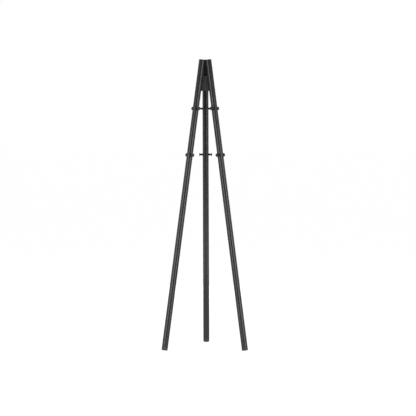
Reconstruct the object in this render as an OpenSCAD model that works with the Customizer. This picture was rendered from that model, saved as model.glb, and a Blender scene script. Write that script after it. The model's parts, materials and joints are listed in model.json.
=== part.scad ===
// Tripod coat stand: three splayed tube legs bolted to a tapered hub, with two pegs through each leg.
// Millimetres, +Z up. The origin is on the floor, under the point that the three legs lean towards.

/* [Stand] */
// Height of the whole stand
stand_h = 1800; // [1600:10:1900]
// Angle of each leg from the vertical, in degrees
lean = 8.4; // [7.5:0.1:9.5]
// Distance from the stand's axis to each leg's axis at the top end
top_r = 22; // [22:0.5:26]

/* [Leg tubes] */
// Outside diameter of a leg
tube_d = 38; // [34:1:38]
// Wall thickness of a leg
tube_wall = 1.5; // [1.2:0.1:2]

/* [End caps] */
// Visible height of a foot below its tube
foot_h = 20; // [12:1:30]
// Rounding of a foot's bottom edge
foot_round = 3; // [1:0.5:4]
// Visible height of a top cap above its tube
cap_h = 5; // [3:0.5:8]
// Rounding of a top cap's edge
cap_round = 1; // [0.5:0.5:2]
// Depth of a foot's spigot inside its tube
foot_spigot_h = 28; // [20:1:40]
// Depth of a top cap's spigot inside its tube
cap_spigot_h = 15; // [10:1:20]

/* [Hub] */
// Distance from the top of the stand down to the hub
hub_drop = 103; // [90:1:120]
// Height of the hub
hub_h = 93; // [80:1:110]
// Thickness of the hub's walls
hub_wall = 4; // [3:0.5:5]
// How far each flat face lies behind the line between two leg axes
face_setback = 3; // [2:0.5:5]
// Distance of the upper and lower screws from the hub's nearest edge
hub_screw_inset = 24; // [18:1:30]

/* [Pegs] */
// Height of the lower pegs' axis above the floor
lower_peg_z = 1207; // [1100:1:1250]
// Height of the upper pegs' axis above the floor
upper_peg_z = 1495; // [1400:1:1520]
// Length of a double-ended peg over both heads
peg_len = 80; // [70:1:100]
// Diameter of a peg's shaft
peg_d = 12; // [9:0.5:14]
// Diameter of a peg's flared head
head_d = 22; // [18:0.5:24]
// Length of the flare
flare_len = 5; // [4:0.5:8]
// Length of the straight rim outside the flare
rim_len = 1; // [0.5:0.5:2]

/* [Hidden] */
$fn = 96;
tube_r = tube_d / 2;
bore_r = tube_r - tube_wall;
seat_gap = 0.1; // between a leg and its saddle in the hub
slack = 0.05; // radial play of threads and spigots

// A foot stands on the inner part of its rounded rim, which is its lowest point.
foot_z = (tube_r - foot_round) * sin(lean) + foot_round * (1 - cos(lean));
leg_len = (stand_h - (tube_r - cap_round) * sin(lean) - cap_round * (1 - cos(lean)) - foot_z) / cos(lean);
foot_r = top_r + leg_len * sin(lean);
tube_len = leg_len - foot_h - cap_h;

// Plastic spigots: a hollow plug with three sealing ribs that grip the tube.
spigot_r = bore_r - 0.4;
rib_r = bore_r - slack;
rib_h = 1.2;
rib_pitch = 4;
spigot_wall = 2.5;

// Hub: its flat faces follow the legs, so they lean at half the legs' slope.
hub_top_z = stand_h - hub_drop;
hub_z = hub_top_z - hub_h;
taper = atan(tan(lean) / 2);
hub_apothem = axis_r(hub_z) / 2 - face_setback;
saddle_r = tube_r + seat_gap;
big = 200;

// M6 fasteners
thread_r = 3;
bolt_hole_r = 3.3;
bolt_head_r = 5.25;
bolt_head_h = 3.3;
bolt_dome_r = 6.2;
hex_across_flats = 4;
hex_depth = 2;
spot_r = 6.2;
spot_wall = 3; // hub wall left under a bolt's head
spot_x = -(saddle_r + spot_wall);
bolt_len = 12;
nut_r = 5.5;
nut_len = 8;
screw_heights = [hub_z + hub_screw_inset, hub_top_z - hub_screw_inset];

// Pegs: two turned knobs clamp the tube between them on a stud.
knob_len = (peg_len - tube_d) / 2;
shaft_len = knob_len - flare_len - rim_len;
knob_spigot_r = 4;
knob_spigot_len = 3;
knob_bore_len = 9.5;
knob_edge = 0.4;
stud_len = 54;
stud_chamfer = 0.6;

SIDES = ["rear", "left", "right"];
ANGLES = [90, 210, 330];
LEVELS = ["lower", "upper"];
PEG_HEIGHTS = [lower_peg_z, upper_peg_z];
// Left and right are as seen from outside the stand, facing the leg.
HANDS = ["left", "right"];

// Distance from the stand's axis to a leg's axis at height z.
function axis_r(z) = foot_r - (z - foot_z) * tan(lean);

// Distance along a leg, from the middle of its foot's end face, to height z.
function along_leg(z) = (z - foot_z) / cos(lean);

// A leg's own frame: Z along the leg from its foot's end face, X outwards, Y level and to the right.
module on_leg(angle) {
    rotate([0, 0, angle])
        translate([foot_r, 0, foot_z])
            rotate([0, -lean, 0])
                children();
}

// Turns a shape's Z towards a leg's X.
module along_x() {
    rotate([0, 90, 0]) children();
}

// Turns a shape's Z towards a leg's Y.
module along_y() {
    rotate([-90, 0, 0]) children();
}

// Half section of a plug: a rounded visible end up to end_h, then a ribbed hollow spigot.
module plug_section(end_h, edge, spigot_h) {
    difference() {
        union() {
            translate([0, edge]) square([tube_r, end_h - edge]);
            square([tube_r - edge, end_h]);
            intersection() {
                translate([tube_r - edge, edge]) circle(edge);
                translate([tube_r - edge, 0]) square(edge);
            }
            translate([0, end_h - 1]) square([spigot_r, spigot_h + 1]);
            for (i = [1:3]) {
                translate([0, end_h + i * rib_pitch - rib_h]) square([rib_r, rib_h]);
            }
        }
        translate([0, end_h - 1]) square([spigot_r - spigot_wall, spigot_h + 2]);
    }
}

module foot() {
    color("#3a3a3c")
        rotate_extrude() plug_section(foot_h, foot_round, foot_spigot_h);
}

module top_cap() {
    color("#303032")
        translate([0, 0, leg_len])
            mirror([0, 0, 1])
                rotate_extrude() plug_section(cap_h, cap_round, cap_spigot_h);
}

// Leg tube with a hole through both walls for each peg, and a bolt hole in its inner wall for each hub bolt.
module leg_tube() {
    color("#2c2c2e")
        difference() {
            translate([0, 0, foot_h]) cylinder(r = tube_r, h = tube_len);
            translate([0, 0, foot_h - 1]) cylinder(r = bore_r, h = tube_len + 2);
            for (z = PEG_HEIGHTS) {
                translate([0, -tube_d, along_leg(z)]) along_y() cylinder(r = knob_spigot_r, h = 2 * tube_d);
            }
            for (z = screw_heights) {
                translate([-tube_d, 0, along_leg(z)]) along_x() cylinder(r = bolt_hole_r, h = tube_r + 5);
            }
        }
}

// Three flat faces that lean with the legs, set in by inset, from below the hub to above it.
module hub_prism(inset) {
    intersection_for(a = ANGLES) {
        rotate([0, 0, a + 180])
            translate([hub_apothem - inset, 0, hub_z])
                rotate([0, -taper, 0])
                    translate([-big, -big / 2, -hub_h])
                        cube([big, big, 3 * hub_h]);
    }
}

// One cylinder of radius r on each leg's axis, as long as the hub and more.
module leg_cylinders(r) {
    for (a = ANGLES) {
        on_leg(a) translate([0, 0, along_leg(hub_z) - hub_h / 2]) cylinder(r = r, h = 2 * hub_h);
    }
}

// Hollow tapered hub: a flat wall between each pair of legs and a saddle wall round each leg.
module hub() {
    color("#29292c")
        difference() {
            intersection() {
                hub_prism(0);
                translate([-big / 2, -big / 2, hub_z]) cube([big, big, hub_h]);
            }
            difference() {
                hub_prism(hub_wall);
                leg_cylinders(saddle_r + hub_wall);
            }
            leg_cylinders(saddle_r);
            for (a = ANGLES) {
                for (z = screw_heights) {
                    on_leg(a) translate([spot_x, 0, along_leg(z)]) along_x() bolt_seat();
                }
            }
        }
}

// Clearance hole through the hub's wall with a flat seat for the bolt's head on the inside.
module bolt_seat() {
    translate([0, 0, -1]) cylinder(r = bolt_hole_r, h = spot_wall + 3);
    translate([0, 0, -hub_wall]) cylinder(r = spot_r, h = hub_wall);
}

// Domed socket bolt: its head is below Z = 0 and its shank above.
module bolt() {
    difference() {
        intersection() {
            translate([0, 0, -bolt_head_h]) cylinder(r = bolt_head_r, h = bolt_head_h);
            translate([0, 0, bolt_dome_r - bolt_head_h]) sphere(bolt_dome_r);
        }
        translate([0, 0, -bolt_head_h - 1]) cylinder(d = hex_across_flats / cos(30), h = hex_depth + 1, $fn = 6);
    }
    translate([0, 0, -0.5]) cylinder(r = thread_r - slack, h = bolt_len + 0.5);
}

// The two bolts that fasten one leg, pushed out through the hub's wall from the inside.
module hub_bolts() {
    color("#8c8c90")
        for (z = screw_heights) {
            translate([spot_x, 0, along_leg(z)]) along_x() bolt();
        }
}

// Two threaded nuts welded inside a leg, each cut to the curve of the tube's bore.
module leg_nuts() {
    color("#8c8c90")
        for (z = screw_heights) {
            translate([0, 0, along_leg(z)])
                difference() {
                    intersection() {
                        translate([-bore_r, 0, 0]) along_x() cylinder(r = nut_r, h = nut_len);
                        translate([0, 0, -nut_len]) cylinder(r = bore_r - slack / 2, h = 2 * nut_len);
                    }
                    translate([-tube_r, 0, 0]) along_x() cylinder(r = thread_r, h = tube_r);
                }
        }
}

// M6 stud through the leg, from knob to knob.
module peg_stud(peg_z) {
    r = thread_r - slack;
    color("#8c8c90")
        translate([0, -stud_len / 2, along_leg(peg_z)])
            along_y()
                rotate_extrude()
                    polygon([
                        [0, 0],
                        [r - stud_chamfer, 0],
                        [r, stud_chamfer],
                        [r, stud_len - stud_chamfer],
                        [r - stud_chamfer, stud_len],
                        [0, stud_len]
                    ]);
}

// Turned knob from its spigot, which sits in the tube's wall, to the flat end of its flared head.
module knob() {
    rotate_extrude()
        polygon([
            [thread_r, -knob_spigot_len],
            [knob_spigot_r - slack, -knob_spigot_len],
            [knob_spigot_r - slack, 0],
            [peg_d / 2, 0],
            [peg_d / 2, shaft_len],
            [head_d / 2, shaft_len + flare_len],
            [head_d / 2, knob_len - knob_edge],
            [head_d / 2 - knob_edge, knob_len],
            [0, knob_len],
            [0, knob_bore_len],
            [thread_r, knob_bore_len]
        ]);
}

module peg_knob(peg_z, hand) {
    color("#262628")
        translate([0, 0, along_leg(peg_z)])
            mirror([0, hand == "right" ? 0 : 1, 0])
                translate([0, tube_r, 0]) along_y() knob();
}

hub();
for (i = [0:2]) {
    on_leg(ANGLES[i]) leg_tube();
    on_leg(ANGLES[i]) top_cap();
    on_leg(ANGLES[i]) foot();
    on_leg(ANGLES[i]) hub_bolts();
    on_leg(ANGLES[i]) leg_nuts();
    for (j = [0:1]) {
        peg = str(SIDES[i], "_", LEVELS[j], "_peg");
        on_leg(ANGLES[i]) peg_stud(PEG_HEIGHTS[j]);
        for (hand = HANDS) {
            on_leg(ANGLES[i]) peg_knob(PEG_HEIGHTS[j], hand);
        }
    }
}
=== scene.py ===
# Tripod coat stand: fine meshes and materials for every visible piece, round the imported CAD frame.
# Metres, +Z up, with the front between the left and right legs at -Y.

import json
import math

import bmesh
import bpy
from mathutils import Matrix, Vector


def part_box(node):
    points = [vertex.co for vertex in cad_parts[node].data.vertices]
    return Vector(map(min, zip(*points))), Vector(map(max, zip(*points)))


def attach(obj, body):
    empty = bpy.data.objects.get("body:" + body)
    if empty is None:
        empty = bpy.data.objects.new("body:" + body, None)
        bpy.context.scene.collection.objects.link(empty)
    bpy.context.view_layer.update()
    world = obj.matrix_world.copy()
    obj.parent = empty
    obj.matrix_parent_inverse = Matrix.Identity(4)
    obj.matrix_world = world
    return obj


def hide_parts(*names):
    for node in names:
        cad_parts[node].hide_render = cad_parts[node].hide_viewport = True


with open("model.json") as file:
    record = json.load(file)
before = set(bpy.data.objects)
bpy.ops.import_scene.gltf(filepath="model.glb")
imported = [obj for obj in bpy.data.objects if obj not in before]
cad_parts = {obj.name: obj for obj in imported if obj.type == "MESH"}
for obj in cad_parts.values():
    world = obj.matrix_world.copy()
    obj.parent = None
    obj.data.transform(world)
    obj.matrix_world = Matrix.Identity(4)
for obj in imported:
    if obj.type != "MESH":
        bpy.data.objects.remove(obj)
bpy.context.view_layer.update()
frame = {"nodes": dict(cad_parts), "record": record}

BODY = "root"
SIDES = ("rear", "left", "right")
LEVELS = ("lower", "upper")
HANDS = ("left", "right")
MM = 0.001

# Measuring and mesh detail
TUBE_SEGMENTS = 128
PLUG_SEGMENTS = 128
KNOB_SEGMENTS = 96
HOLE_SEGMENTS = 48
ARC_STEPS = 6
HOLD = 0.25 * MM  # a ring this far beside a rounding keeps the shading of the flat beyond it flat
RING_PITCH = 60 * MM
SHARP = math.radians(35)
NEAR = 0.1 * MM  # measured sizes closer than this are the same
WELD = 0.01 * MM  # points closer than this are joined after a cut
ON_AXIS = 0.001 * MM  # a path's point nearer the axis than this is on it
HUB_ARC_STEPS = 16
HUB_FLAT_STEPS = 8
HUB_LEVELS = 12
HUB_BEVEL_SEGMENTS = 4

# Rounded edges
TUBE_EDGE = 0.35 * MM
FOOT_EDGE = 3 * MM
CAP_EDGE = 1 * MM
SEAM_EDGE = 0.3 * MM
RIB_EDGE = 0.2 * MM
RIM_EDGE = 0.4 * MM
NECK_BLEND = 2.5 * MM
HUB_EDGE = 1 * MM

# Hidden sizes, the same as the CAD frame's
KNOB_BORE_DEPTH = 9.5 * MM
HUB_WALL = 4 * MM
SPOT_WALL = 3 * MM
SPOT_RADIUS = 6.2 * MM
BOLT_HOLE_RADIUS = 3.3 * MM
HOLE_SLACK = 0.05 * MM

# Finishes
COAT_BLUE = 1.18
TURNED_BLUE = 1.1
PLASTIC_BLUE = 1.05
WORN_RADIUS = 5 * MM
COATED_RADIUS = 7 * MM
SCUFF_HEIGHT = 9 * MM
DUST = 2.2  # how much paler a full scuff is than the plastic

# Studio
CAMERA_DISTANCE = 10.5
CAMERA_AZIMUTH = 1.35
CAMERA_HEIGHT = 1.418
CAMERA_AIM = Vector((0.0171, 0, 0.8757))
LENS_MM = 145.9
SENSOR_MM = 36
POOL_HEIGHT = 0.005
FLOOR_HALF = 90
FLOOR_GREY = 0.2


# ---------------------------------------------------------------- measuring the frame

def leg_frame(side):
    """A leg's own frame: Z up the leg from the middle of its foot's end face, X outwards, Y level."""
    mounts = {m["name"]: m for m in frame["record"]["mounts"]}
    mount = mounts[side + "_foot_face"]
    origin = Vector(mount["pos_m"])
    up = -Vector(mount["axis"]).normalized()
    level = Vector((0, 0, 1)).cross(Vector((origin.x, origin.y, 0))).normalized()
    outward = level.cross(up)
    rotation = Matrix((outward, level, up)).transposed()
    return Matrix.Translation(origin) @ rotation.to_4x4()


def points_in(node, matrix):
    """A CAD node's points, seen from that frame."""
    inverse = matrix.inverted()
    return [inverse @ v.co for v in frame["nodes"][node].data.vertices]


def rings(node, matrix):
    """A turned CAD node's points as (height, radius) about the Z axis of that frame."""
    return [(p.z, math.hypot(p.x, p.y)) for p in points_in(node, matrix)]


def middle(values):
    return (min(values) + max(values)) / 2


def pair_heights(node, matrix):
    """Heights of a node's two equal solids, one above the other in that frame."""
    heights = [p.z for p in points_in(node, matrix)]
    cut = middle(heights)
    return [middle([h for h in heights if h < cut]), middle([h for h in heights if h > cut])]


# ---------------------------------------------------------------- mesh building

def rounded(corners):
    """A path through (x, y) corners. A corner with a third value is rounded to that radius."""
    path = []
    for i, (x, y, *soft) in enumerate(corners):
        here = Vector((x, y))
        if not soft:
            path.append(here)
            continue
        back = Vector(corners[i - 1][:2]) - here
        ahead = Vector(corners[(i + 1) % len(corners)][:2]) - here
        half = back.angle(ahead) / 2
        reach = soft[0] / math.tan(half)
        inward = (back.normalized() + ahead.normalized()).normalized()
        centre = here + inward * soft[0] / math.sin(half)
        start = here + back.normalized() * reach
        end = here + ahead.normalized() * reach
        if back.length > 2 * (reach + HOLD):
            path.append(start + back.normalized() * HOLD)
        for k in range(ARC_STEPS + 1):
            path.append(centre + soft[0] * (start - centre).slerp(end - centre, k / ARC_STEPS))
        if ahead.length > 2 * (reach + HOLD):
            path.append(end + ahead.normalized() * HOLD)
    return path


def new_piece(name, bm, matrix):
    """An object from a bmesh whose points are in the frame of that matrix."""
    bmesh.ops.recalc_face_normals(bm, faces=bm.faces)
    mesh = bpy.data.meshes.new(name)
    bm.to_mesh(mesh)
    bm.free()
    piece = bpy.data.objects.new(name, mesh)
    piece.matrix_world = matrix
    bpy.context.scene.collection.objects.link(piece)
    return piece


def revolve(bm, path, segments):
    """Turns a path of (radius, height) about Z. It starts and ends on the axis, or it is a closed loop."""
    circle = [2 * math.pi * i / segments for i in range(segments)]
    loops = []
    for radius, height in path:
        if radius < ON_AXIS:
            points = [(0, 0, height)]
        else:
            points = [(radius * math.cos(a), radius * math.sin(a), height) for a in circle]
        loops.append([bm.verts.new(p) for p in points])
    if len(loops[0]) > 1:
        loops.append(loops[0])
    for low, high in zip(loops, loops[1:]):
        for i in range(segments):
            j = (i + 1) % segments
            ring = (low[i % len(low)], low[j % len(low)], high[j % len(high)], high[i % len(high)])
            bm.faces.new(tuple(dict.fromkeys(ring)))


def lathe(name, path, matrix, segments):
    bm = bmesh.new()
    revolve(bm, path, segments)
    return new_piece(name, bm, matrix)


def bake(piece):
    """Applies the piece's modifiers."""
    graph = bpy.context.evaluated_depsgraph_get()
    mesh = bpy.data.meshes.new_from_object(piece.evaluated_get(graph))
    piece.modifiers.clear()
    piece.data = mesh


def cut(piece, cutters):
    """Takes turned cutters away from a piece. Each cutter is (path, frame)."""
    bm = bmesh.new()
    for path, matrix in cutters:
        first = len(bm.verts)
        revolve(bm, path, HOLE_SEGMENTS)
        bm.verts.ensure_lookup_table()
        bmesh.ops.transform(bm, matrix=matrix, verts=bm.verts[first:])
    tool = new_piece("cutter", bm, Matrix.Identity(4))
    boolean = piece.modifiers.new("holes", "BOOLEAN")
    boolean.operation = "DIFFERENCE"
    boolean.solver = "EXACT"
    boolean.object = tool
    bpy.context.view_layer.update()
    bake(piece)
    bpy.data.objects.remove(tool)
    bm = bmesh.new()
    bm.from_mesh(piece.data)
    bmesh.ops.remove_doubles(bm, verts=bm.verts, dist=WELD)
    bmesh.ops.dissolve_degenerate(bm, edges=bm.edges, dist=WELD)
    bm.to_mesh(piece.data)
    bm.free()


def pin_path(radius, low, high):
    return [(0, low), (radius, low), (radius, high), (0, high)]


def shade(piece):
    piece.data.shade_smooth()
    piece.data.set_sharp_from_angle(angle=SHARP)


def settle(piece):
    """Moves the piece's frame into its mesh, so that its bounding box lines up with the row's axes."""
    piece.data.transform(piece.matrix_world)
    piece.matrix_world = Matrix.Identity(4)
    return piece


def stand_for(piece, node, material):
    """The piece takes the place of a CAD node of the same body."""
    shade(piece)
    piece.data.materials.clear()
    piece.data.materials.append(material)
    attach(piece, BODY)
    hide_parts(node)
    return piece


# ---------------------------------------------------------------- the pieces

def peg_frame(side, level, hand):
    """A knob's own frame: Z out along the knob's axis, from the leg's axis."""
    leg = leg_frame(side)
    height = middle([p.z for p in points_in(f"{side}_{level}_peg_{hand}_knob", leg)])
    turn = -90 if hand == "right" else 90
    return leg @ Matrix.Translation((0, 0, height)) @ Matrix.Rotation(math.radians(turn), 4, "X")


def spigot_radius(points):
    """The radius of a knob's spigot, from the knob's (height, radius) points."""
    inner_end = min(z for z, r in points)
    return max(r for z, r in points if z < inner_end + NEAR)


def bolt_frame(leg, height):
    """A hub bolt's own frame: Z out along the bolt, from the leg's axis."""
    return leg @ Matrix.Translation((0, 0, height)) @ Matrix.Rotation(math.radians(90), 4, "Y")


def make_leg_tube(side, material):
    node = side + "_leg_tube"
    leg = leg_frame(side)
    points = rings(node, leg)
    bottom, top = min(z for z, r in points), max(z for z, r in points)
    outer, bore = max(r for z, r in points), min(r for z, r in points)
    count = round((top - bottom) / RING_PITCH)
    between = [bottom + (top - bottom) * i / count for i in range(1, count)]
    corners = [(outer, bottom, TUBE_EDGE)]
    corners += [(outer, z) for z in between]
    corners += [(outer, top, TUBE_EDGE), (bore, top, TUBE_EDGE)]
    corners += [(bore, z) for z in reversed(between)]
    corners += [(bore, bottom, TUBE_EDGE)]
    piece = lathe(side + "_leg", rounded(corners), leg, TUBE_SEGMENTS)
    cutters = []
    for level in LEVELS:
        knob = peg_frame(side, level, "right")
        spigot = spigot_radius(rings(f"{side}_{level}_peg_right_knob", knob))
        cutters.append((pin_path(spigot + HOLE_SLACK, -2 * outer, 2 * outer), knob))
    for height in pair_heights(side + "_hub_bolts", leg):
        cutters.append((pin_path(BOLT_HOLE_RADIUS, -2 * outer, -outer / 2), bolt_frame(leg, height)))
    cut(piece, cutters)
    return stand_for(settle(piece), node, material)


def make_plug(name, node, matrix, edge, material):
    """A foot or a top cap: a rounded end at Z = 0, flush with the tube, and a ribbed hollow spigot in it."""
    points = rings(node, matrix)
    outer = max(r for z, r in points)
    end_h = max(z for z, r in points if r > outer - NEAR)
    tip = max(z for z, r in points)
    spigot = max(r for z, r in points if z > tip - NEAR)
    hollow = min(r for z, r in points if z > tip - NEAR)
    floor = min(z for z, r in points if r < hollow + NEAR and z > end_h / 2)
    rib = max(r for z, r in points if z > end_h + MM)
    rib_heights = sorted({round(z, 5) for z, r in points if z > end_h + MM and r > rib - NEAR})
    corners = [(0, 0), (outer / 2, 0), (outer, 0, edge), (outer, end_h, SEAM_EDGE), (spigot, end_h)]
    for low, high in zip(rib_heights[::2], rib_heights[1::2]):
        corners += [(spigot, low), (rib, low, RIB_EDGE), (rib, high, RIB_EDGE), (spigot, high)]
    corners += [(spigot, tip, SEAM_EDGE), (hollow, tip, SEAM_EDGE), (hollow, floor), (0, floor)]
    piece = lathe(name, rounded(corners), matrix, PLUG_SEGMENTS)
    return stand_for(settle(piece), node, material)


def make_foot(side, material):
    leg = leg_frame(side)
    return make_plug(side + "_foot_cap", side + "_foot", leg, FOOT_EDGE, material)


def make_top_cap(side, material):
    leg = leg_frame(side)
    end = max(p.z for p in points_in(side + "_top_cap", leg))
    matrix = leg @ Matrix.Translation((0, 0, end)) @ Matrix.Rotation(math.pi, 4, "X")
    return make_plug(side + "_end_cap", side + "_top_cap", matrix, CAP_EDGE, material)


def make_knob(side, level, hand, material):
    node = f"{side}_{level}_peg_{hand}_knob"
    matrix = peg_frame(side, level, hand)
    points = rings(node, matrix)
    tip = max(z for z, r in points)
    inner_end = min(z for z, r in points)
    head = max(r for z, r in points)
    spigot = spigot_radius(points)
    bore = min(r for z, r in points if z < inner_end + NEAR)
    base = max(z for z, r in points if abs(r - spigot) < NEAR)
    neck = max(r for z, r in points if z < base + NEAR)
    flare_start = max(z for z, r in points if abs(r - neck) < NEAR)
    flare_end = min(z for z, r in points if r > head - NEAR)
    bore_end = base + KNOB_BORE_DEPTH
    corners = [
        (0, tip),
        (head / 3, tip),
        (head * 2 / 3, tip),
        (head, tip, RIM_EDGE),
        (head, flare_end, RIM_EDGE),
        (neck, flare_start, NECK_BLEND),
        (neck, base, SEAM_EDGE),
        (spigot, base),
        (spigot, inner_end, RIB_EDGE),
        (bore, inner_end, RIB_EDGE),
        (bore, bore_end),
        (0, bore_end),
    ]
    piece = lathe(f"{side}_{level}_peg_{hand}", rounded(corners), matrix, KNOB_SEGMENTS)
    return stand_for(piece, node, material)


def hub_level(reach, lean, setback, saddle, height):
    """One level of the hub, where the legs' axes are at that reach: an arc round each leg, joined by flats.

    A leaning leg's cylinder crosses the level in an ellipse, and corner is half the width of the arc on it.
    """
    across, along = saddle, saddle / math.cos(lean)
    a = 3 / along**2 + 1 / across**2
    b = 4 * math.sqrt(3) * setback / along**2
    c = 4 * setback**2 / along**2 - 1
    corner = (-b + math.sqrt(b * b - 4 * a * c)) / (2 * a)
    sweep = math.asin(corner / across)
    arcs = []
    for side in SIDES:
        radial = leg_frame(side).to_translation()
        radial.z = 0
        radial.normalize()
        tangent = Vector((0, 0, 1)).cross(radial)
        arc = []
        for i in range(HUB_ARC_STEPS + 1):
            turn = sweep * (2 * i / HUB_ARC_STEPS - 1)
            arc.append(radial * (reach - along * math.cos(turn)) + tangent * across * math.sin(turn))
        arcs.append(arc)
    level = []
    for arc, following in zip(arcs, arcs[1:] + arcs[:1]):
        level += arc
        level += [arc[-1].lerp(following[0], i / HUB_FLAT_STEPS) for i in range(1, HUB_FLAT_STEPS)]
    return [Vector((p.x, p.y, height)) for p in level]


def make_hub(material):
    """Hollow hub: its levels' outer and inner outlines are lofted, and its bolt seats are then cut out."""
    leg = leg_frame("rear")
    low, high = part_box("hub")
    up = leg.to_3x3().col[2]
    lean = up.angle(Vector((0, 0, 1)))
    foot = leg.to_translation()
    saddle = min(math.hypot(p.x, p.y) for p in points_in("hub", leg))
    setback = (foot.y - (low.z - foot.z) * math.tan(lean)) / 2 + low.y
    outside, inside = [], []
    for i in range(HUB_LEVELS + 1):
        z = low.z + (high.z - low.z) * i / HUB_LEVELS
        reach = foot.y - (z - foot.z) * math.tan(lean)
        outside.append(hub_level(reach, lean, setback, saddle, z))
        inside.append(hub_level(reach, lean, setback + HUB_WALL, saddle + HUB_WALL, z))
    bm = bmesh.new()
    loops = [[bm.verts.new(p) for p in level] for level in outside + inside[::-1]]
    loops.append(loops[0])
    for first, second in zip(loops, loops[1:]):
        for i in range(len(first)):
            j = (i + 1) % len(first)
            bm.faces.new((first[i], first[j], second[j], second[i]))
    piece = new_piece("hub_body", bm, Matrix.Identity(4))
    bevel = piece.modifiers.new("edges", "BEVEL")
    bevel.width = HUB_EDGE
    bevel.segments = HUB_BEVEL_SEGMENTS
    bevel.limit_method = "ANGLE"
    bevel.angle_limit = SHARP
    bake(piece)
    seat = -(saddle + SPOT_WALL)
    through = seat + 2 * SPOT_WALL
    cutters = []
    for side in SIDES:
        leg = leg_frame(side)
        path = [(0, seat - HUB_WALL), (SPOT_RADIUS, seat - HUB_WALL), (SPOT_RADIUS, seat)]
        path += [(BOLT_HOLE_RADIUS, seat), (BOLT_HOLE_RADIUS, through), (0, through)]
        for height in pair_heights(side + "_hub_bolts", leg):
            cutters.append((path, bolt_frame(leg, height)))
    cut(piece, cutters)
    stand_for(piece, "hub", material)
    normals = piece.modifiers.new("flat faces", "WEIGHTED_NORMAL")
    normals.keep_sharp = True
    return piece


def plate_fasteners(side, material):
    """The bolts, nuts and studs stay CAD nodes, with that material."""
    nodes = [side + "_hub_bolts", side + "_leg_nuts"]
    nodes += [f"{side}_{level}_peg_stud" for level in LEVELS]
    for node in nodes:
        for material_slot in frame["nodes"][node].material_slots:
            material_slot.material = material


# ---------------------------------------------------------------- materials

class Surface:
    """A material with one Principled shader, and the few node calls that its pattern needs."""

    def __init__(self, name, **constants):
        self.material = bpy.data.materials.new(name)
        self.material.use_nodes = True
        self.nodes = self.material.node_tree.nodes
        self.links = self.material.node_tree.links
        self.shader = self.nodes["Principled BSDF"]
        for socket, value in constants.items():
            self.shader.inputs[socket.replace("_", " ")].default_value = value
        self.place = self.nodes.new("ShaderNodeTexCoord").outputs["Object"]

    def feed(self, socket, value):
        if isinstance(value, bpy.types.NodeSocket):
            self.links.new(value, socket)
        else:
            socket.default_value = value

    def axes(self):
        """The X, Y and Z of the point that is shaded."""
        node = self.nodes.new("ShaderNodeSeparateXYZ")
        self.links.new(self.place, node.inputs["Vector"])
        return node.outputs

    def noise(self, size, detail=2.0, place=None):
        """Noise from 0 to 1 whose grains are about that size in metres."""
        node = self.nodes.new("ShaderNodeTexNoise")
        self.links.new(place or self.place, node.inputs["Vector"])
        node.inputs["Scale"].default_value = 1 / size
        node.inputs["Detail"].default_value = detail
        return node.outputs["Fac"]

    def span(self, value, low, high, start=0.3, end=0.7):
        """Maps a value from start..end to low..high, held at both ends."""
        node = self.nodes.new("ShaderNodeMapRange")
        for socket, number in zip(node.inputs[:5], (value, start, end, low, high)):
            self.feed(socket, number)
        return node.outputs["Result"]

    def maths(self, operation, a, b=0.0):
        node = self.nodes.new("ShaderNodeMath")
        node.operation = operation
        self.feed(node.inputs[0], a)
        self.feed(node.inputs[1], b)
        return node.outputs["Value"]

    def mix(self, factor, first, second):
        node = self.nodes.new("ShaderNodeMix")
        node.data_type = "RGBA"
        self.feed(node.inputs["Factor"], factor)
        self.feed(node.inputs["A"], first)
        self.feed(node.inputs["B"], second)
        return node.outputs["Result"]

    def bump(self, height, depth, under=None):
        """Relief of that depth in metres, on top of another relief."""
        node = self.nodes.new("ShaderNodeBump")
        node.inputs["Distance"].default_value = depth
        self.links.new(height, node.inputs["Height"])
        if under:
            self.links.new(under, node.inputs["Normal"])
        return node.outputs["Normal"]

    def finish(self, color, roughness, normal):
        self.links.new(color, self.shader.inputs["Base Color"])
        self.links.new(roughness, self.shader.inputs["Roughness"])
        self.links.new(normal, self.shader.inputs["Normal"])
        return self.material


def grey(value, blue=1.0):
    """A neutral linear colour, with its blue raised by that factor."""
    return (value, value, value * blue, 1)


def powder_coat(name, dark, light, low_rough, high_rough):
    """Satin black powder coat: orange-peel relief, fine grain and faint cloudiness."""
    s = Surface(name, Specular_IOR_Level=0.5)
    cloud = s.noise(90 * MM, 3.0)
    grain = s.noise(0.5 * MM, 1.0)
    peel = s.noise(2.6 * MM, 1.0)
    tone = s.maths("ADD", s.maths("MULTIPLY", cloud, 0.6), s.maths("MULTIPLY", grain, 0.4))
    color = s.mix(s.span(tone, 0.0, 1.0), grey(dark, COAT_BLUE), grey(light, COAT_BLUE))
    gloss = s.maths("ADD", s.maths("MULTIPLY", cloud, 0.5), s.maths("MULTIPLY", peel, 0.5))
    roughness = s.span(gloss, low_rough, high_rough)
    normal = s.bump(grain, 0.012 * MM, s.bump(peel, 0.05 * MM))
    return s.finish(color, roughness, normal)


def turned_coat(name):
    """Black-coated turned metal: fine tool lines round the axis, and a little wear on neck and end."""
    s = Surface(name, Specular_IOR_Level=0.45)
    x, y, z = s.axes()
    radius = s.maths("SQRT", s.maths("ADD", s.maths("MULTIPLY", x, x), s.maths("MULTIPLY", y, y)))
    join = s.nodes.new("ShaderNodeCombineXYZ")
    s.links.new(radius, join.inputs["X"])
    s.links.new(z, join.inputs["Z"])
    lines = s.noise(0.35 * MM, 2.0, join.outputs["Vector"])
    cloud = s.noise(6 * MM, 3.0)
    grain = s.noise(0.4 * MM, 1.0)
    inner = s.span(radius, 1.0, 0.0, WORN_RADIUS, COATED_RADIUS)
    worn = s.maths("MULTIPLY", inner, s.span(cloud, 0.3, 1.0))
    color = s.mix(s.span(cloud, 0.0, 1.0), grey(0.012, TURNED_BLUE), grey(0.02, TURNED_BLUE))
    roughness = s.maths("SUBTRACT", s.span(lines, 0.42, 0.56), s.maths("MULTIPLY", worn, 0.1))
    normal = s.bump(grain, 0.006 * MM, s.bump(lines, 0.02 * MM))
    return s.finish(color, roughness, normal)


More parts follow.
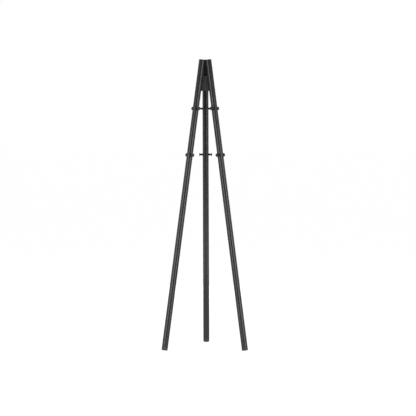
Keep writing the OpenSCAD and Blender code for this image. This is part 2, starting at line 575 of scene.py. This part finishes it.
def moulded_plastic(name, dark, light, low_rough, high_rough, scuffed):
    """Matte black moulded plastic with a fine grain, and dusty scuffs towards the floor if it is scuffed."""
    s = Surface(name, Specular_IOR_Level=0.4)
    grain = s.noise(0.7 * MM, 2.0)
    cloud = s.noise(14 * MM, 3.0)
    color = s.mix(s.span(cloud, 0.0, 1.0), grey(dark, PLASTIC_BLUE), grey(light, PLASTIC_BLUE))
    roughness = s.span(grain, low_rough, high_rough)
    if scuffed:
        x, y, z = s.axes()
        height = s.span(z, 1.0, 0.0, 0.0, SCUFF_HEIGHT)
        streaks = s.span(s.noise(2.2 * MM, 4.0), 0.15, 1.0, 0.42, 0.62)
        color = s.mix(s.maths("MULTIPLY", height, streaks), color, grey(light * DUST))
    normal = s.bump(grain, 0.03 * MM)
    return s.finish(color, roughness, normal)


def zinc_steel(name):
    """Bright zinc-plated steel with a faint passivation tint."""
    s = Surface(name, Metallic=1.0)
    cloud = s.noise(3 * MM, 3.0)
    scratch = s.noise(0.25 * MM, 3.0)
    color = s.mix(s.span(cloud, 0.0, 1.0), (0.52, 0.53, 0.56, 1), (0.66, 0.65, 0.62, 1))
    roughness = s.span(scratch, 0.24, 0.4)
    return s.finish(color, roughness, s.bump(scratch, 0.008 * MM))


# ---------------------------------------------------------------- the studio

def look_at(obj, eye, aim):
    obj.matrix_world = Matrix.Translation(eye) @ (aim - eye).to_track_quat("-Z", "Y").to_matrix().to_4x4()


def round_the_stand(azimuth, distance, height):
    """A point at that azimuth in degrees: 0 is in front, and positive is to the right."""
    a = math.radians(azimuth)
    return Vector((distance * math.sin(a), -distance * math.cos(a), height))


def make_camera():
    data = bpy.data.cameras.new("camera")
    data.lens = LENS_MM
    data.sensor_width = SENSOR_MM
    data.clip_end = 100
    camera = bpy.data.objects.new("camera", data)
    bpy.context.scene.collection.objects.link(camera)
    eye = round_the_stand(CAMERA_AZIMUTH, CAMERA_DISTANCE, CAMERA_HEIGHT)
    look_at(camera, eye, CAMERA_AIM)
    bpy.context.scene.camera = camera


def make_lamp(name, width, height, power, eye, aim):
    """A rectangular light that the camera doesn't see."""
    data = bpy.data.lights.new(name, "AREA")
    data.shape = "RECTANGLE"
    data.size = width
    data.size_y = height
    data.energy = power
    lamp = bpy.data.objects.new(name, data)
    lamp.visible_camera = False
    bpy.context.scene.collection.objects.link(lamp)
    look_at(lamp, eye, aim)


def make_softbox(name, azimuth, distance, width, height, level, power):
    """A lamp whose middle is at that level, facing the stand's axis."""
    eye = round_the_stand(azimuth, distance, level)
    make_lamp(name, width, height, power, eye, Vector((0, 0, level)))


def make_pool(name, across, ahead, width, depth, power):
    """Light thrown up by a lit part of the white floor, centred that far to the right and in front."""
    eye = Vector((across, -ahead, POOL_HEIGHT))
    make_lamp(name, width, depth, power, eye, eye + Vector((0, 0, 1)))


def make_world(seen, lit):
    """White where the camera looks past the stand, and dimmer as light."""
    world = bpy.data.worlds.new("studio")
    bpy.context.scene.world = world
    world.use_nodes = True
    nodes, links = world.node_tree.nodes, world.node_tree.links
    backdrop = nodes["Background"]
    backdrop.inputs["Color"].default_value = (1, 1, 1, 1)
    path = nodes.new("ShaderNodeLightPath")
    strength = nodes.new("ShaderNodeMapRange")
    strength.inputs["To Min"].default_value = lit
    strength.inputs["To Max"].default_value = seen
    links.new(path.outputs["Is Camera Ray"], strength.inputs["Value"])
    links.new(strength.outputs["Result"], backdrop.inputs["Strength"])


def make_floor(glow):
    bm = bmesh.new()
    bmesh.ops.create_grid(bm, x_segments=8, y_segments=8, size=FLOOR_HALF)
    floor = new_piece("floor", bm, Matrix.Identity(4))
    material = bpy.data.materials.new("floor")
    material.use_nodes = True
    shader = material.node_tree.nodes["Principled BSDF"]
    shader.inputs["Base Color"].default_value = grey(FLOOR_GREY)
    shader.inputs["Roughness"].default_value = 0.9
    shader.inputs["Specular IOR Level"].default_value = 0.1
    shader.inputs["Emission Color"].default_value = (1, 1, 1, 1)
    shader.inputs["Emission Strength"].default_value = glow
    floor.data.materials.append(material)
    floor.visible_diffuse = False
    floor.visible_glossy = False


# ---------------------------------------------------------------- assembly

make_camera()
make_world(seen=1.0, lit=0.15)
make_floor(glow=0.96)
make_pool("pool", across=0, ahead=1.15, width=2.4, depth=2.9, power=15)
make_pool("pool_left", across=-1.6, ahead=1.3, width=1.4, depth=2.2, power=17)
make_pool("pool_right", across=1.6, ahead=1.3, width=1.4, depth=2.2, power=17)
make_softbox("key_left", azimuth=-37, distance=4.0, width=1.5, height=2.3, level=1.2, power=50)
make_softbox("key_right", azimuth=43, distance=4.0, width=1.5, height=2.3, level=1.2, power=52)
make_softbox("side_left", azimuth=-95, distance=3.5, width=3.0, height=2.6, level=1.4, power=25)
make_softbox("side_right", azimuth=95, distance=3.5, width=3.0, height=2.6, level=1.4, power=19)
make_softbox("front", azimuth=0, distance=5.0, width=1.2, height=1.6, level=1.2, power=3)
make_softbox("rear", azimuth=180, distance=4.0, width=2.4, height=3.0, level=1.3, power=50)

leg_coat = powder_coat("leg_powder_coat", dark=0.018, light=0.026, low_rough=0.18, high_rough=0.25)
hub_coat = powder_coat("hub_powder_coat", dark=0.02, light=0.03, low_rough=0.42, high_rough=0.54)
peg_coat = turned_coat("peg_turned_coat")
cap_plastic = moulded_plastic(
    "cap_moulded_plastic", dark=0.028, light=0.038, low_rough=0.45, high_rough=0.58, scuffed=False
)
foot_plastic = moulded_plastic(
    "foot_moulded_plastic", dark=0.045, light=0.06, low_rough=0.5, high_rough=0.65, scuffed=True
)
zinc = zinc_steel("zinc_plated_steel")

make_hub(hub_coat)
for side in SIDES:
    make_leg_tube(side, leg_coat)
    make_foot(side, foot_plastic)
    make_top_cap(side, cap_plastic)
    for level in LEVELS:
        for hand in HANDS:
            make_knob(side, level, hand, peg_coat)
    plate_fasteners(side, zinc)

bpy.context.scene.view_settings.view_transform = "Standard"
